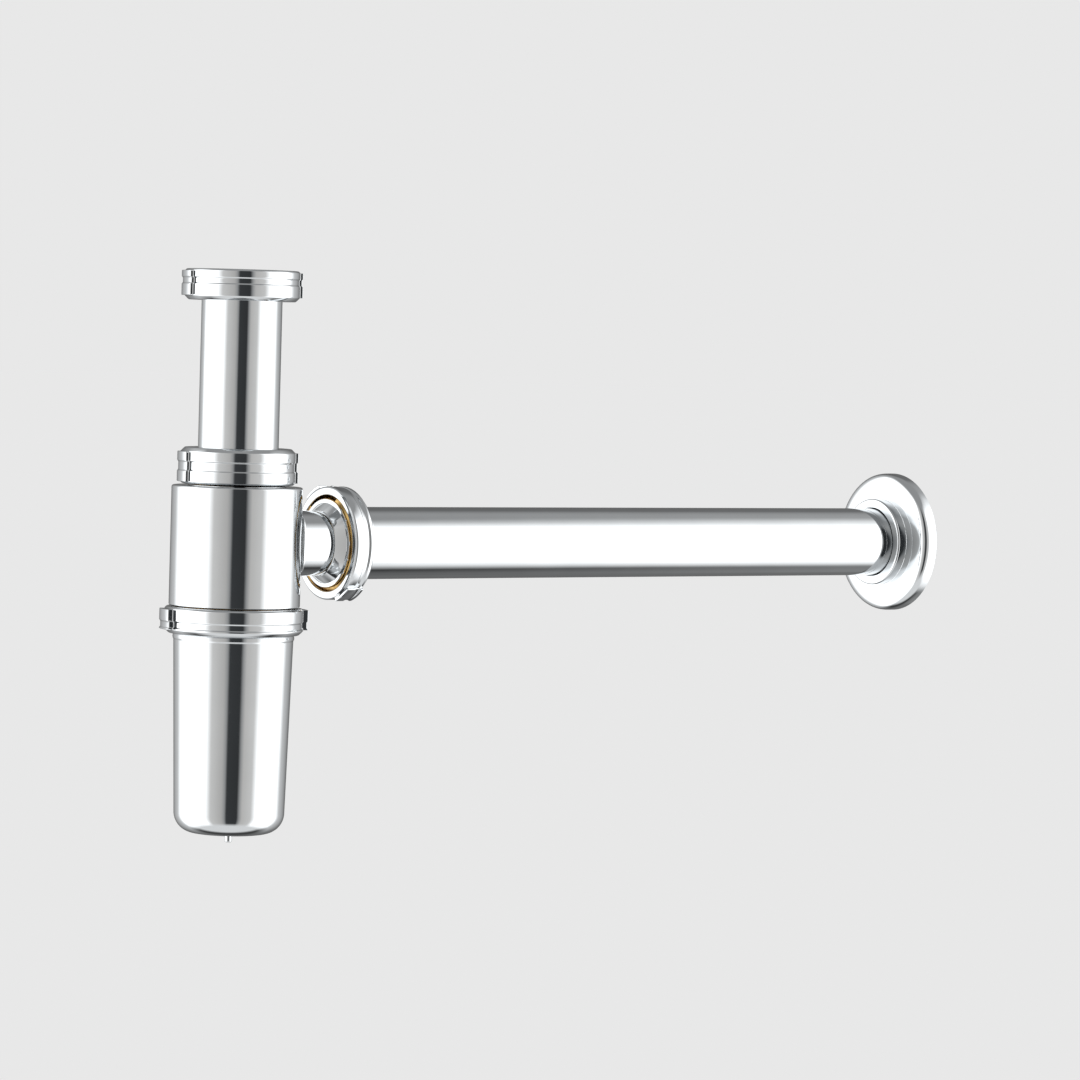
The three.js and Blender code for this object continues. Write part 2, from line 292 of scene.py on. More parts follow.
def white_nylon():
    """Moulded nylon: milky white, satin, slightly uneven from the mould."""
    material, tree, shader = new_material("moulded_nylon")
    if tree is None:
        return material
    place = add(tree, "ShaderNodeTexCoord").outputs["Object"]
    flow = add(
        tree, "ShaderNodeTexNoise", {"Vector": place, "Scale": per_metre(8), "Detail": 3.0}
    ).outputs["Fac"]
    cloud = add(tree, "ShaderNodeMapRange", limits(flow, 0.0, 1.0, 0.35, 0.65)).outputs["Result"]
    bright = (*finishes().nylon, 1.0)
    shade = shaded(finishes().nylon, (0.9, 0.9, 0.9))
    tint = add(tree, "ShaderNodeMix", {"Factor": cloud, "A": shade, "B": bright}, data_type="RGBA")
    grain = add(
        tree, "ShaderNodeTexNoise", {"Vector": place, "Scale": per_metre(0.8), "Detail": 2.0}
    ).outputs["Fac"]
    normal = add(
        tree, "ShaderNodeBump", {"Height": grain, "Strength": 0.5, "Distance": 0.01 * MM}
    ).outputs["Normal"]
    rough = add(tree, "ShaderNodeMapRange", limits(cloud, 0.35, 0.5)).outputs["Result"]
    set_inputs(tree, shader, {"Base Color": tint.outputs["Result"], "IOR": 1.53})
    set_inputs(tree, shader, {"Roughness": rough, "Normal": normal})
    return material


# --- Shapes --------------------------------------------------------------------------------------


def outer(node):
    """Radius over a round CAD node, from its box."""
    low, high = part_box(node)
    return (high.y - low.y) / 2


def heights(node, axis="Z"):
    """Where a CAD node starts and ends along its own axis."""
    low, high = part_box(node)
    return (low.x, high.x) if axis == "X" else (low.z, high.z)


def outlet_height():
    """Height of the outlet's axis."""
    low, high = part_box("outlet_pipe")
    return (low.z + high.z) / 2


def onto_outlet():
    """Lays a piece that was built along Z over onto the outlet's axis."""
    return Matrix.Translation((0, 0, outlet_height())) @ Matrix.Rotation(math.pi / 2, 4, "Y")


def upside_down(height):
    """Turns a piece over about X and lifts it to this height."""
    return Matrix.Translation((0, 0, height)) @ Matrix.Rotation(math.pi, 4, "X")


def arc(r, z, radius, start, end, steps=8):
    """Outline points on an arc about (r, z); angles in degrees from the outward direction."""
    turns = [math.radians(start + (end - start) * i / steps) for i in range(steps + 1)]
    return [(r + radius * math.cos(a), z + radius * math.sin(a)) for a in turns]


def turned(outline, closed=True):
    """Spins an outline of (radius, height) points into a closed body.

    An outline that isn't closed starts and ends on the axis.
    """
    bm = bmesh.new()
    points = [bm.verts.new((r, 0, z)) for r, z in outline]
    pairs = list(zip(points, points[1:]))
    if closed:
        pairs.append((points[-1], points[0]))
    edges = [bm.edges.new(pair) for pair in pairs]
    bmesh.ops.spin(
        bm,
        geom=points + edges,
        cent=(0, 0, 0),
        axis=(0, 0, 1),
        angle=math.tau,
        steps=sizes().facets,
        use_merge=True,
    )
    bmesh.ops.remove_doubles(bm, verts=bm.verts, dist=0.002 * MM)
    bmesh.ops.recalc_face_normals(bm, faces=bm.faces)
    return bm


def soften(bm, radius, limit=28, segments=3):
    """Rounds every edge sharper than the limit in degrees, as polishing does."""
    sharp = [
        e for e in bm.edges if e.is_manifold and e.calc_face_angle() > math.radians(limit)
    ]
    bmesh.ops.bevel(
        bm,
        geom=sharp,
        offset=radius,
        offset_type="OFFSET",
        segments=segments,
        profile=0.5,
        affect="EDGES",
        material=-1,
        clamp_overlap=True,
    )
    bmesh.ops.remove_doubles(bm, verts=bm.verts, dist=0.002 * MM)


def face_radius(face):
    centre = face.calc_center_median()
    return math.hypot(centre.x, centre.y)


def looks_inward(face):
    """True on a bore's wall: the face looks towards the axis."""
    centre = face.calc_center_median()
    return face.normal.x * centre.x + face.normal.y * centre.y < -0.3 * face_radius(face)


def finish_piece(bm, name, body, nodes, materials, place=None, second=None):
    """Makes the object. second(face) picks the faces that take the second material."""
    if second:
        bm.normal_update()
        for face in bm.faces:
            face.material_index = int(second(face))
    if place is not None:
        bmesh.ops.transform(bm, matrix=place, verts=bm.verts)
    mesh = bpy.data.meshes.new(name)
    bm.to_mesh(mesh)
    bm.free()
    for material in materials:
        mesh.materials.append(material)
    mesh.shade_smooth()
    mesh.set_sharp_from_angle(angle=math.radians(14))
    piece = bpy.data.objects.new(name, mesh)
    bpy.context.scene.collection.objects.link(piece)
    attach(piece, body)
    if nodes:
        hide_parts(*nodes)
    return piece


def ring_piece(name, body, node, material, bore, edge=0.2, axis="Z"):
    """A flat washer or slip ring that fills its CAD node, with softened corners."""
    low, high = heights(node, axis)
    radius = outer(node)
    bm = turned([(bore, low), (radius, low), (radius, high), (bore, high)])
    soften(bm, edge * MM)
    place = onto_outlet() if axis == "X" else None
    return finish_piece(bm, name, body, [node], [material], place)


def helix(radius, depth, pitch, low, high, offset=0.0):
    """A right-hand thread's ridge between two heights; a negative depth points inwards, as in a nut.

    offset is a height at which the ridge passes the +X side, give or take whole pitches.
    """
    turns = (high - low) / pitch - 1
    steps = max(8, round(turns * 72))
    buried, half, crest = 0.2 * MM, 0.42 * pitch, 0.1 * pitch
    root = radius - math.copysign(buried, depth)
    profile = [(root, -half), (radius + depth, -crest), (radius + depth, crest), (root, half)]
    start = low + pitch / 2
    bm = bmesh.new()
    points = [bm.verts.new((r, 0, start + z)) for r, z in profile]
    edges = [bm.edges.new((points[i], points[(i + 1) % 4])) for i in range(4)]
    phase = math.tau * (start - offset) / pitch
    bmesh.ops.rotate(bm, verts=points, cent=(0, 0, 0), matrix=Matrix.Rotation(phase, 3, "Z"))
    bmesh.ops.spin(
        bm,
        geom=points + edges,
        cent=(0, 0, 0),
        axis=(0, 0, 1),
        dvec=(0, 0, pitch * turns / steps),
        angle=math.tau * turns,
        steps=steps,
    )
    bmesh.ops.holes_fill(bm, edges=bm.edges, sides=4)
    bmesh.ops.recalc_face_normals(bm, faces=bm.faces)
    return bm


# --- Nuts ----------------------------------------------------------------------------------------


def nut_body(radius, lug_radius, bore, hole, height, groove, neck, first_lug):
    """A nut with its open end up at height 0. groove holds its start and end as shares of the height."""
    s = sizes()
    chamfer, dip = s.nut_chamfer, s.groove_depth
    neck_length, neck_radius = neck
    top, end = (-share * height for share in groove)
    outline = [(hole, -height - neck_length)]
    if neck_length:
        outline += [(neck_radius, -height - neck_length), (neck_radius, -height)]
    outline += [
        (radius - chamfer, -height),
        (radius, -height + chamfer),
        (radius, end - dip),
        (radius - dip, end),
        (radius - dip, top),
        (radius, top + dip),
        (radius, -s.open_chamfer),
        (radius - s.open_chamfer, 0),
        (bore + 0.5 * MM, 0),
        (bore, -0.5 * MM),
        (bore, -BRIGHT_RIM),
        (bore, -height + s.lip),
        (hole, -height + s.lip),
    ]
    bm = turned(outline)
    low, high = -height + chamfer, -s.open_chamfer
    raise_lugs(bm, radius - dip, lug_radius - radius, low, high, first_lug)
    soften(bm, s.edge)
    return bm


def raise_lugs(bm, rim, rise, low, high, first_lug):
    """Pushes two opposite spanner lugs out of a nut's rim between two heights."""
    half = sizes().lug_width / rim / 2
    tiny = 0.01 * MM
    chosen = []
    for face in bm.faces:
        centre = face.calc_center_median()
        turn = (math.atan2(centre.y, centre.x) - math.radians(first_lug)) % math.pi
        near = min(turn, math.pi - turn) < half
        on_rim = face_radius(face) > rim - 0.1 * MM
        if near and on_rim and low - tiny < centre.z < high + tiny:
            chosen.append(face)
    made = bmesh.ops.extrude_face_region(bm, geom=chosen)
    for vert in (v for v in made["geom"] if isinstance(v, bmesh.types.BMVert)):
        vert.co.xy = vert.co.xy.normalized() * (vert.co.xy.length + rise)
    bmesh.ops.delete(bm, geom=chosen, context="FACES")
    bmesh.ops.recalc_face_normals(bm, faces=bm.faces)


def nut_piece(
    name, node, body, radii, hole, groove, stop, axis="Z", flipped=False, neck=NO_NECK,
    lug_turn=LUG_TURN,
):
    """A nut, chromed outside and bare brass in its bore, and its own thread that ends at the stop."""
    s = sizes()
    radius, lug_radius, thread_radius, pitch = radii
    low, high = heights(node, axis)
    open_end = low if flipped else high
    sign = -1 if flipped else 1
    place = upside_down(low) if flipped else Matrix.Translation((0, 0, high))
    if axis == "X":
        place = onto_outlet() @ place
    bore = thread_radius + s.gap
    height = high - low - neck[0]
    bm = nut_body(radius, lug_radius, bore, hole, height, groove, neck, sign * lug_turn)

    def bare(face):
        in_bore = hole + 0.3 * MM < face_radius(face) < bore + 0.1 * MM
        inside = looks_inward(face) or face.normal.z > 0.5
        return in_bore and inside and face.calc_center_median().z < -BRIGHT_RIM

    materials = [chrome_plate(axis), bare_brass(axis)]
    finish_piece(bm, name, body, [node], materials, place, bare)
    offset = sign * (pitch / 2 - open_end)
    depth = s.thread_depth * pitch / s.thread_pitch
    thread = helix(bore, -depth, pitch, sign * (stop - open_end), -BRIGHT_RIM, offset)
    finish_piece(thread, f"{name}_thread", body, [], [bare_brass(axis)], place)


class TRAP_OT_nuts(bpy.types.Operator):
    """The inlet's union nut, the top slip nut, the branch's union nut and the cup's ring nut"""

    bl_idname = "trap.nuts"
    bl_label = "Nuts"

    def execute(self, context):
        s = sizes()
        small = (s.nut_radius, s.nut_lug_radius, s.thread_radius, s.thread_pitch)
        large = (s.cup_nut_radius, s.cup_nut_lug_radius, outer("foot_ring"), s.cup_pitch)
        on_tube, on_pipe = s.tube_radius + s.gap, s.pipe_radius + s.gap
        on_cup = outer("cup") - 0.8 * MM
        inlet_stop = heights("inlet_washer")[1]
        top_stop = heights("top_neck")[1]
        branch_stop = heights("branch_neck", "X")[1]
        cup_stop = heights("foot_ring")[0]
        neck = (4.3 * MM, on_pipe + 1.3 * MM)
        nut_piece(
            "inlet_union_nut", "inlet_nut", "inlet_coupling", small, on_tube, (0.3, 0.46), inlet_stop
        )
        nut_piece(
            "slip_nut", "top_nut", "top_coupling", small, on_tube, (0.38, 0.6), top_stop, flipped=True
        )
        nut_piece(
            "branch_union_nut", "branch_nut", "branch_coupling", small, on_pipe, (0.5, 0.66),
            branch_stop, axis="X", flipped=True, neck=neck, lug_turn=BRANCH_LUG_TURN,
        )
        nut_piece(
            "cup_ring_nut", "cup_nut", "cup_coupling", large, on_cup, (0.55, 0.75), cup_stop
        )
        return {"FINISHED"}


# --- Inlet ---------------------------------------------------------------------------------------


def tube_outline(radius, wall, collar, collar_end, start, end):
    """A tube from start to end with a rolled collar over its first stretch, from start to collar_end."""
    grow = 1 if end > start else -1
    fillet = 0.5 * MM
    roll = 0.35 * MM
    corner = collar_end + grow * fillet
    return [
        (radius - wall, end),
        (radius, end),
        (radius, corner),
        (radius + fillet * 0.3, collar_end + grow * fillet * 0.3),
        (radius + fillet, collar_end),
        (collar - roll, collar_end),
        (collar, collar_end - grow * roll),
        (collar, start + grow * roll),
        (collar - roll, start),
        (radius - wall + roll, start),
        (radius - wall, start + grow * roll),
    ]


class TRAP_OT_inlet(bpy.types.Operator):
    """The inlet tube with its rolled collar, and the washer and slip ring inside its nut"""

    bl_idname = "trap.inlet"
    bl_label = "Inlet"

    def execute(self, context):
        s = sizes()
        low, high = heights("inlet_tube")
        collar_end = heights("inlet_slip_ring")[1] + s.gap
        bm = turned(tube_outline(s.tube_radius, s.sheet, outer("inlet_tube"), collar_end, high, low))
        soften(bm, POLISH, limit=50, segments=2)
        materials = [chrome_plate("Z"), bare_brass("Z")]
        finish_piece(
            bm, "drawn_inlet_tube", "inlet", ["inlet_tube"], materials,
            second=looks_inward,
        )
        bore = s.tube_radius - s.sheet + 0.1 * MM
        ring_piece("inlet_flat_seal", "inlet", "inlet_washer", black_rubber(), bore, 0.3)
        hole = s.tube_radius + s.gap
        ring_piece("inlet_nylon_ring", "inlet_slip", "inlet_slip_ring", white_nylon(), hole)
        return {"FINISHED"}


# --- Barrel --------------------------------------------------------------------------------------


def cut_branch_hole(piece):
    """Cuts the hole for the outlet neck through the barrel's wall and applies the cut."""
    s = sizes()
    bm = bmesh.new()
    radius = outer("barrel")
    bmesh.ops.create_cone(
        bm, cap_ends=True, segments=72, radius1=NECK_RADIUS + 0.05 * MM,
        radius2=NECK_RADIUS + 0.05 * MM, depth=radius,
    )
    place = Matrix.Translation((radius, 0, outlet_height())) @ Matrix.Rotation(math.pi / 2, 4, "Y")
    bmesh.ops.transform(bm, matrix=place, verts=bm.verts)
    mesh = bpy.data.meshes.new("hole_cutter")
    bm.to_mesh(mesh)
    bm.free()
    cutter = bpy.data.objects.new("hole_cutter", mesh)
    bpy.context.scene.collection.objects.link(cutter)
    cut = piece.modifiers.new("hole", "BOOLEAN")
    cut.operation, cut.object, cut.solver = "DIFFERENCE", cutter, "EXACT"
    bpy.context.view_layer.update()
    ready = piece.evaluated_get(bpy.context.evaluated_depsgraph_get())
    piece.data = bpy.data.meshes.new_from_object(ready)
    piece.modifiers.clear()
    bpy.data.objects.remove(cutter)
    if len(piece.data.polygons) < s.facets:
        raise RuntimeError("the hole for the outlet neck could not be cut")


class TRAP_OT_barrel(bpy.types.Operator):
    """The barrel with its threaded neck, foot ring and outlet neck, and the seals under the slip nut"""

    bl_idname = "trap.barrel"
    bl_label = "Barrel"

    def execute(self, context):
        s = sizes()
        self.shell()
        self.neck()
        self.foot()
        self.branch()
        hole = s.tube_radius + s.gap
        ring_piece("slip_nut_ring", "top_slip", "top_friction_ring", white_nylon(), hole)
        self.taper_seal(hole)
        return {"FINISHED"}

    def shell(self):
        s = sizes()
        low, high = heights("barrel")
        radius = outer("barrel")
        wall = s.casting
        shoulder = 0.9 * MM
        bore = s.thread_radius + s.gap
        outline = [
            (radius - wall, low),
            (radius - 0.5 * MM, low),
            (radius, low + 0.5 * MM),
            *arc(radius - shoulder, high - shoulder, shoulder, 0, 90, 8),
            (bore, high),
            (bore, high - wall),
            (radius - wall, high - wall),
        ]
        bm = turned(outline)
        soften(bm, 0.2 * MM, limit=40, segments=2)
        inside = radius - wall + 0.1 * MM

        def bare(face):
            return face_radius(face) < inside and (looks_inward(face) or face.normal.z < -0.5)

        materials = [chrome_plate("Z"), bare_brass("Z")]
        piece = finish_piece(
            bm, "turned_barrel", "trap", ["barrel"], materials, second=bare
        )
        cut_branch_hole(piece)

    def neck(self):
        s = sizes()
        low, high = heights("top_neck")
        plate_end = heights("barrel")[1] - s.casting
        root = s.thread_radius - s.thread_depth
        seat = plate_end - s.gap
        rim = 0.9 * MM + 0.6 * MM
        bm = turned([
            (s.tube_radius + s.gap, low),
            (outer("top_neck"), low),
            (outer("top_neck"), seat),
            (s.thread_radius, seat),
            (s.thread_radius, seat + 2.4 * MM),
            (root, seat + 3 * MM),
            (root, high),
            (s.thread_radius - rim, high),
            (s.tube_radius + 1.8 * MM, high - 5 * MM),
            (s.tube_radius + s.gap, high - 5 * MM),
        ])
        soften(bm, POLISH, limit=40, segments=2)

        def plated(face):
            centre = face.calc_center_median()
            return face_radius(face) > root and seat < centre.z < seat + 2.9 * MM

        brass = [bare_brass("Z")]
        materials = [*brass, chrome_plate("Z")]
        finish_piece(
            bm, "barrel_screwed_neck", "trap", ["top_neck"], materials, second=plated
        )
        thread = helix(root, s.thread_depth, s.thread_pitch, seat + 3 * MM, high)
        finish_piece(thread, "barrel_neck_thread", "trap", [], brass)

    def foot(self):
        s = sizes()
        low, high = heights("foot_ring")
        barrel_end = heights("barrel")[0]
        thread = outer("foot_ring")
        depth = s.thread_depth * s.cup_pitch / s.thread_pitch
        inside = outer("barrel") - s.casting - s.gap
        bm = turned([
            (inside - s.casting, low),
            (thread - depth, low),
            (thread - depth, barrel_end - 1.2 * MM),
            (thread, barrel_end - 1 * MM),
            (thread, barrel_end - s.gap),
            (inside, barrel_end - s.gap),
            (inside, high),
            (inside - s.casting, high),
        ])
        soften(bm, POLISH, limit=40, segments=2)

        def plated(face):
            return face_radius(face) > inside and face.calc_center_median().z > barrel_end - 1.1 * MM

        brass = [bare_brass("Z")]
        materials = [*brass, chrome_plate("Z")]
        finish_piece(
            bm, "barrel_foot", "trap", ["foot_ring"], materials, second=plated
        )
        ridge = helix(thread - depth, depth, s.cup_pitch, low, barrel_end - 1.1 * MM)
        finish_piece(ridge, "barrel_foot_thread", "trap", [], brass)

    def branch(self):
        s = sizes()
        start, end = heights("branch_neck", "X")
        radius = NECK_RADIUS
        root = s.thread_radius - s.thread_depth
        shoulder = end - 4.5 * MM
        flare = 3.4 * MM
        bm = turned([
            (radius - s.casting, start),
            (radius, start),
            (radius, shoulder - flare - 0.5 * MM),
            (radius + 0.15 * MM, shoulder - flare),
            (radius + flare - 0.15 * MM, shoulder - 0.3 * MM),
            (radius + flare + 0.1 * MM, shoulder),
            (root - 0.4 * MM, shoulder),
            (root, shoulder + 0.4 * MM),
            (root, end),
            (radius - s.casting, end),
        ])
        soften(bm, POLISH, limit=40, segments=2)

        def bare(face):
            return looks_inward(face) or face.calc_center_median().z > shoulder + 0.2 * MM

        place = onto_outlet()
        materials = [chrome_plate("X"), bare_brass("X")]
        finish_piece(
            bm, "outlet_neck", "trap", ["branch_neck"], materials, place, bare
        )
        thread = helix(root, s.thread_depth, s.thread_pitch, shoulder + 0.3 * MM, end)
        brass = [bare_brass("X")]
        finish_piece(thread, "outlet_neck_thread", "trap", [], brass, place)
        self.braze()

    def braze(self):
        """The polished fillet where the neck meets the barrel, bent to the barrel's curve."""
        radius, size = NECK_RADIUS, 2.4 * MM
        barrel = outer("barrel")
        concave = arc(radius + size, size, size, 180, 270, 10)
        buried = [(radius + size, -0.8 * MM), (radius - 0.6 * MM, -0.8 * MM), (radius - 0.6 * MM, size)]
        bm = turned(concave + buried)
        bmesh.ops.transform(bm, matrix=Matrix.Translation((0, 0, barrel)), verts=bm.verts)
        for vert in bm.verts:
            vert.co.z += math.sqrt(barrel**2 - vert.co.y**2) - barrel
        materials = [chrome_plate("X")]
        finish_piece(bm, "outlet_braze", "trap", [], materials, onto_outlet())

    def taper_seal(self, hole):
        low, high = heights("top_taper_seal")
        radius = outer("top_taper_seal")
        bm = turned([
            (hole, low),
            (hole + 1.1 * MM, low),
            (radius - 1.5 * MM, low + 4.4 * MM),
            (radius, low + 5 * MM),
            (radius, high),
            (hole, high),
        ])
        soften(bm, 0.3 * MM, limit=15)
        rubber = [black_rubber()]
        finish_piece(bm, "slip_nut_seal", "top_seal", ["top_taper_seal"], rubber)


# --- Cup -----------------------------------------------------------------------------------------


class TRAP_OT_cup(bpy.types.Operator):
    """The drawn cup with its rolled flange, bead and centre pip, its flat seal and its slip ring"""

    bl_idname = "trap.cup"
    bl_label = "Cup"

    def execute(self, context):
        s = sizes()
        low, high = heights("cup")
        flange = outer("cup")
        flange_end = heights("cup_slip_ring")[1] + s.gap
        wall = s.sheet
        top_r, foot_r = 26.2 * MM, 24.1 * MM
        corner = 9 * MM
        pip_r, pip, pip_edge = 1.6 * MM, 4.2 * MM, 0.7 * MM
        floor = low + pip
        turn = foot_r - corner
        bead = heights("cup_nut")[0] - 1.5 * MM
        bulge = 0.25 * MM
        outline = [
            (0, low),
            *arc(pip_r - pip_edge, low + pip_edge, pip_edge, -90, 0, 6),
            (pip_r, floor - 0.9 * MM),
            (pip_r + 0.3 * MM, floor - 0.3 * MM),
            (pip_r + 0.9 * MM, floor),
            *arc(turn, floor + corner, corner, -90, 0, 14),
            (top_r - 0.15 * MM, bead - 1.3 * MM),
            (top_r + bulge * 0.7, bead - 0.6 * MM),
            (top_r + bulge, bead),
            (top_r + bulge * 0.7, bead + 0.6 * MM),
            (top_r, bead + 1.3 * MM),
            (top_r, flange_end),
            (flange, flange_end),
            (flange, high),
            (top_r - wall, high),
            *arc(turn, floor + corner, corner - wall, 0, -90, 14),
            (0, floor + wall),
        ]
        bm = turned(outline, closed=False)
        soften(bm, 0.25 * MM, limit=40)
        inner = top_r - wall / 2

        def bare(face):
            centre = face.calc_center_median()
            above_floor = face_radius(face) < inner and centre.z > floor + wall / 2
            return looks_inward(face) or (above_floor and face.normal.z > 0.1)

        materials = [chrome_plate("Z"), bare_brass("Z")]
        finish_piece(bm, "drawn_cup", "sump", ["cup"], materials, second=bare)
        rubber = black_rubber()
        ring_piece("cup_flat_seal", "sump", "cup_washer", rubber, top_r - wall, 0.3)
        hole = top_r + s.gap + 0.3 * MM
        ring_piece("cup_nylon_ring", "cup_slip", "cup_slip_ring", white_nylon(), hole)
        return {"FINISHED"}


# --- Outlet pipe and wall flange -----------------------------------------------------------------


class TRAP_OT_outlet(bpy.types.Operator):
    """The outlet pipe with its rolled collar, flat seal and slip ring"""

    bl_idname = "trap.outlet"
    bl_label = "Outlet pipe"

    def execute(self, context):
        s = sizes()
        start, end = heights("outlet_pipe", "X")
        collar_end = heights("branch_slip_ring", "X")[0] - s.gap
        bm = turned(tube_outline(s.pipe_radius, s.sheet, outer("outlet_washer"), collar_end, start, end))
        soften(bm, POLISH, limit=50, segments=2)
        materials = [chrome_plate("X"), bare_brass("X")]
        finish_piece(
            bm, "drawn_outlet_pipe", "outlet", ["outlet_pipe"], materials,
            onto_outlet(), looks_inward,
        )
        bore = s.pipe_radius - s.sheet + 0.1 * MM
        ring_piece(
            "outlet_flat_seal", "outlet_seal", "outlet_washer", black_rubber(),
            bore, 0.3, "X",
        )
        ring_piece(
            "branch_nylon_ring", "branch_slip", "branch_slip_ring", white_nylon(),
            s.pipe_radius + s.gap, 0.2, "X",
        )
        return {"FINISHED"}


class TRAP_OT_flange(bpy.types.Operator):
    """The domed wall flange with its collar, and the rubber ring that grips the pipe"""

    bl_idname = "trap.flange"
    bl_label = "Wall flange"

    def execute(self, context):
        s = sizes()
        front, wall_plane = heights("wall_flange", "X")
        rim = outer("wall_flange")
        collar, wall = 20.6 * MM, s.casting
        hole = s.pipe_radius + s.gap
        ring_start = heights("flange_ring", "X")[0]
        rim_edge, dome_height = 2.6 * MM, 9 * MM
        fullness = 0.55

        def dome(radius, height, steps=16):
            turns = [math.radians(90 * (1 - i / steps)) for i in range(steps + 1)]
            return [
                (
                    collar + (radius - collar) * abs(math.cos(a)) ** fullness,
                    wall_plane - rim_edge - (height - rim_edge) * math.sin(a) ** fullness,
                )
                for a in turns
            ]

        lip = 1.1 * MM
        outline = [
            (hole, front + 0.3 * MM),
            (hole + 0.3 * MM, front),
            *arc(collar - lip, front + lip, lip, -90, 0, 8),
            *dome(rim, dome_height),
            (rim, wall_plane - 0.5 * MM),
            (rim - 0.5 * MM, wall_plane),
            (rim - rim_edge, wall_plane),
            *reversed(dome(rim - rim_edge, dome_height - wall)),
            (collar - wall, wall_plane - dome_height + wall),
            (collar - wall, ring_start - s.gap),
            (hole, ring_start - s.gap),
        ]
        bm = turned(outline)
        soften(bm, POLISH, limit=50, segments=2)

        def bare(face):
            return looks_inward(face) and hole + 1 * MM < face_radius(face) < rim - 1 * MM

        materials = [chrome_plate("X"), bare_brass("X")]
        finish_piece(
            bm, "spun_wall_flange", "flange", ["wall_flange"], materials,
            onto_outlet(), bare,
        )
        ring_piece(
            "flange_grip_ring", "flange_grip", "flange_ring", black_rubber(),
            hole, 0.6, "X",
        )
        return {"FINISHED"}


# --- Stage ---------------------------------------------------------------------------------------


def unit(angle):
    """A level direction, from an angle in degrees that is 0 along -Y and grows towards +X."""
    a = math.radians(angle)
    return Vector((math.sin(a), -math.cos(a), 0))


def studio_world():
    """Two tall soft boxes with a dark gap between them, in a grey room.

    Only light and reflections see the room. The camera itself sees the plain floor colour.
    """
    world = bpy.data.worlds.new("studio")
    bpy.context.scene.world = world
    world.use_nodes = True
    tree = world.node_tree
    tree.nodes.clear()
    facing = add(tree, "ShaderNodeTexCoord").outputs["Generated"]
    front, side = unit(CAMERA_AZIMUTH), unit(CAMERA_AZIMUTH + 90)
    along = add(tree, "ShaderNodeVectorMath", {0: facing, 1: front}, operation="DOT_PRODUCT")
    across = add(tree, "ShaderNodeVectorMath", {0: facing, 1: side}, operation="DOT_PRODUCT")
    turn = add(
        tree,
        "ShaderNodeMath",
        {0: across.outputs["Value"], 1: along.outputs["Value"]},
        operation="ARCTAN2",
    ).outputs[0]
    round_room = add(
        tree, "ShaderNodeMapRange", limits(turn, 0.0, 1.0, -math.pi, math.pi)
    ).outputs["Result"]
    walls = add(tree, "ShaderNodeValToRGB", {"Fac": round_room})
    ramp = walls.color_ramp
    ramp.interpolation = "LINEAR"
    # degrees round from the camera, brightness, warmth
    stops = [
        (-180, 0.16, 0.0), (-164, 0.22, 0.0), (-148, 0.5, 0.0), (-130, 0.8, 0.0), (-112, 2.3, 0.0),
        (-52, 2.3, 0.0), (-36, 0.85, 0.02), (-12, 0.62, 0.03), (-6, 0.42, 0.0), (-2, 0.06, -0.05),
        (20, 0.05, -0.05), (25, 0.42, 0.0), (31, 0.7, 0.03), (50, 0.85, 0.02), (66, 2.3, 0.0),
        (112, 2.3, 0.0), (130, 0.8, 0.0), (148, 0.5, 0.0), (164, 0.22, 0.0), (180, 0.16, 0.0),
    ]
    for i, (angle, level, warmth) in enumerate(stops):
        at = (angle + 180) / 360
        stop = ramp.elements[i] if i < 2 else ramp.elements.new(at)
        stop.position = at
        level /= STOP_SCALE
        stop.color = (level * (1 + warmth), level, level * (1 - warmth), 1)
    up = add(tree, "ShaderNodeSeparateXYZ", {"Vector": facing}).outputs["Z"]
    above = limits(up, 0.0, 1.0, math.sin(math.radians(38)), math.sin(math.radians(56)))
    ceiling = add(tree, "ShaderNodeMapRange", above).outputs["Result"]
    underfoot = limits(up, 0.0, 1.0, -math.sin(math.radians(40)), -math.sin(math.radians(56)))
    ground = add(tree, "ShaderNodeMapRange", underfoot).outputs["Result"]
    lit = walls.outputs["Color"]
    scaled = add(tree, "ShaderNodeVectorMath", {0: lit, "Scale": STOP_SCALE}, operation="SCALE")
    topped = add(
        tree,
        "ShaderNodeMix",
        {"Factor": ceiling, "A": scaled.outputs["Vector"], "B": (*[CEILING_GREY] * 3, 1)},
        data_type="RGBA",
    )
    nearer = limits(along.outputs["Value"], 0.07, 1.0, -0.36, -0.12)
    below = add(tree, "ShaderNodeMapRange", nearer).outputs["Result"]
    under = add(tree, "ShaderNodeCombineColor", {"Red": below, "Green": below, "Blue": below})
    room = add(
        tree,
        "ShaderNodeMix",
        {"Factor": ground, "A": topped.outputs["Result"], "B": under.outputs["Color"]},
        data_type="RGBA",
    )
    seen = add(tree, "ShaderNodeLightPath").outputs["Is Camera Ray"]
    shown = add(
        tree,
        "ShaderNodeMix",
        {"Factor": seen, "A": room.outputs["Result"], "B": (*finishes().floor, 1)},
        data_type="RGBA",
    )
    light = add(tree, "ShaderNodeBackground", {"Color": shown.outputs["Result"], "Strength": 1.0})
    add(tree, "ShaderNodeOutputWorld", {"Surface": light.outputs["Background"]})


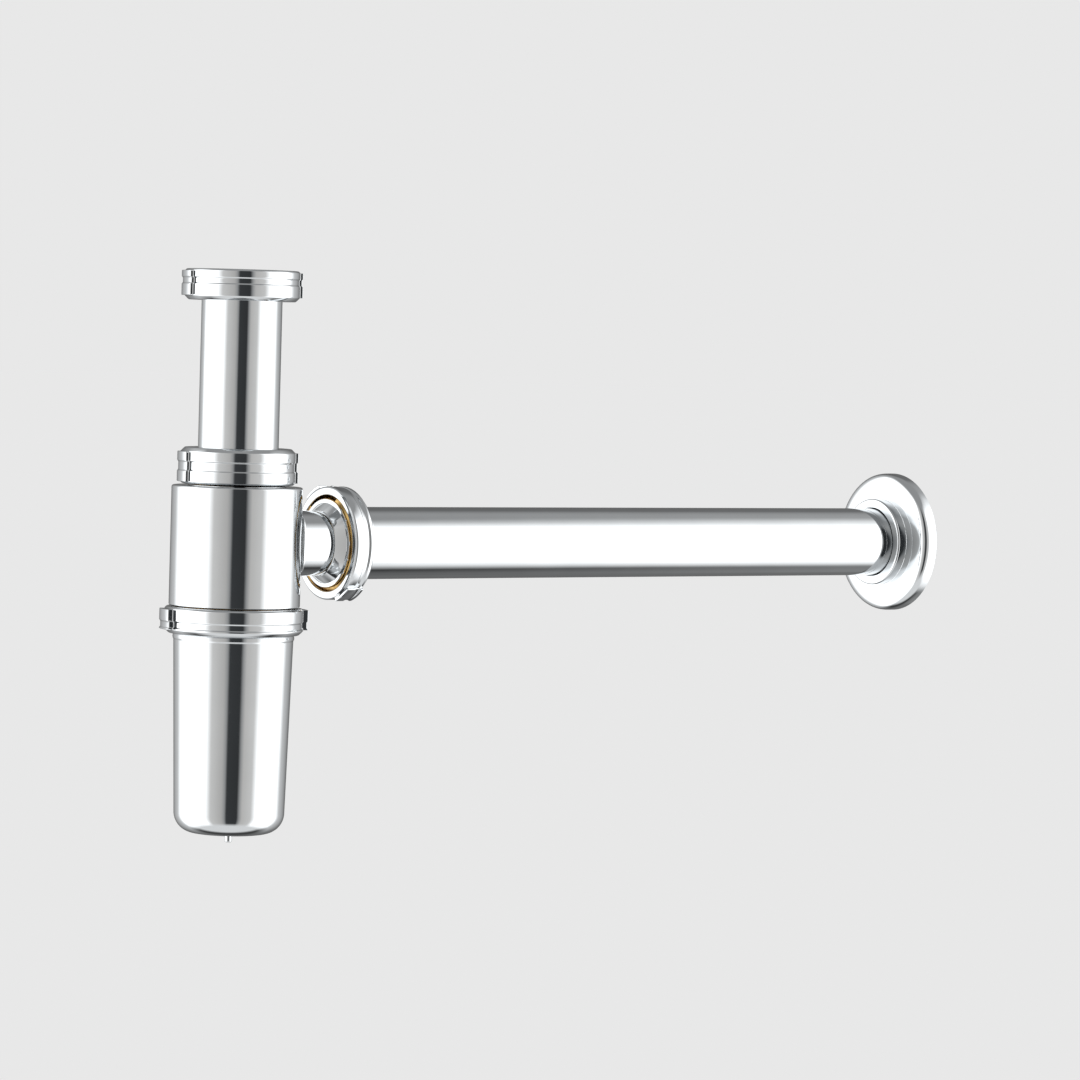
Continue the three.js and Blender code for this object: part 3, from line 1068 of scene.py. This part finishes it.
class TRAP_OT_stage(bpy.types.Operator):
    """The pale floor, the soft studio light and the camera"""

    bl_idname = "trap.stage"
    bl_label = "Stage"

    azimuth: FloatProperty(name="Azimuth", description="Degrees round from -Y", default=CAMERA_AZIMUTH)
    elevation: FloatProperty(name="Elevation", description="Degrees above level", default=2.49)
    roll: FloatProperty(name="Roll", description="Degrees the view is rolled", default=1.654)
    distance: FloatProperty(
        name="Distance", description="From the aim point", default=1.9866, unit="LENGTH"
    )
    lens: FloatProperty(name="Lens", description="Focal length in millimetres", default=152.44)

    def execute(self, context):
        studio_world()
        self.floor()
        self.camera()
        context.scene.view_settings.view_transform = "Standard"
        return {"FINISHED"}

    def floor(self):
        """A wide pale disc under the trap. It glows, takes no shadow and stays out of the chrome."""
        material, tree, shader = new_material("matt_studio_floor")
        pale = (*finishes().floor, 1)
        set_inputs(tree, shader, {"Base Color": (0.02, 0.02, 0.02, 1), "Roughness": 1.0})
        set_inputs(tree, shader, {"Specular IOR Level": 0.0, "Emission Color": pale})
        shader.inputs["Emission Strength"].default_value = FLOOR_GLOW
        bm = bmesh.new()
        bmesh.ops.create_circle(bm, cap_ends=True, segments=96, radius=FLOOR_RADIUS)
        bmesh.ops.translate(bm, verts=bm.verts, vec=(0, 0, FLOOR_HEIGHT))
        mesh = bpy.data.meshes.new("studio_floor")
        bm.to_mesh(mesh)
        bm.free()
        mesh.materials.append(material)
        disc = bpy.data.objects.new("studio_floor", mesh)
        bpy.context.scene.collection.objects.link(disc)
        disc.visible_glossy = disc.visible_diffuse = disc.visible_shadow = False

    def camera(self):
        a, e = math.radians(self.azimuth), math.radians(self.elevation)
        back = Vector((math.sin(a) * math.cos(e), -math.cos(a) * math.cos(e), math.sin(e)))
        aim = Vector((math.cos(a), math.sin(a), 0)) * AIM_SIDE + Vector((0, 0, AIM_HEIGHT))
        data = bpy.data.cameras.new("camera")
        data.lens, data.sensor_width = self.lens, SENSOR_WIDTH
        data.clip_end = 100
        camera = bpy.data.objects.new("camera", data)
        bpy.context.scene.collection.objects.link(camera)
        turn = (-back).to_track_quat("-Z", "Y").to_matrix().to_4x4()
        roll = Matrix.Rotation(math.radians(self.roll), 4, "Z")
        camera.matrix_world = Matrix.Translation(aim + back * self.distance) @ turn @ roll
        bpy.context.scene.camera = camera


# --- Add-on --------------------------------------------------------------------------------------

STEPS = (
    TRAP_OT_stage,
    TRAP_OT_inlet,
    TRAP_OT_nuts,
    TRAP_OT_barrel,
    TRAP_OT_cup,
    TRAP_OT_outlet,
    TRAP_OT_flange,
)


class TRAP_PT_panel(bpy.types.Panel):
    """Lists the steps that make the trap"""

    bl_idname = "TRAP_PT_panel"
    bl_label = "Bottle trap"
    bl_space_type = "VIEW_3D"
    bl_region_type = "UI"
    bl_category = "Trap"

    def draw(self, context):
        for step in STEPS:
            self.layout.operator(step.bl_idname)
        for group in (context.scene.trap_sizes, context.scene.trap_finishes):
            for name in group.__annotations__:
                self.layout.prop(group, name)


CLASSES = (TrapSizes, TrapFinishes, *STEPS, TRAP_PT_panel)


def register():
    for cls in CLASSES:
        bpy.utils.register_class(cls)
    bpy.types.Scene.trap_sizes = PointerProperty(type=TrapSizes)
    bpy.types.Scene.trap_finishes = PointerProperty(type=TrapFinishes)


def unregister():
    del bpy.types.Scene.trap_finishes
    del bpy.types.Scene.trap_sizes
    for cls in reversed(CLASSES):
        bpy.utils.unregister_class(cls)


def main():
    register()
    for step in STEPS:
        group, name = step.bl_idname.split(".")
        getattr(getattr(bpy.ops, group), name)()


if __name__ == "__main__":
    main()
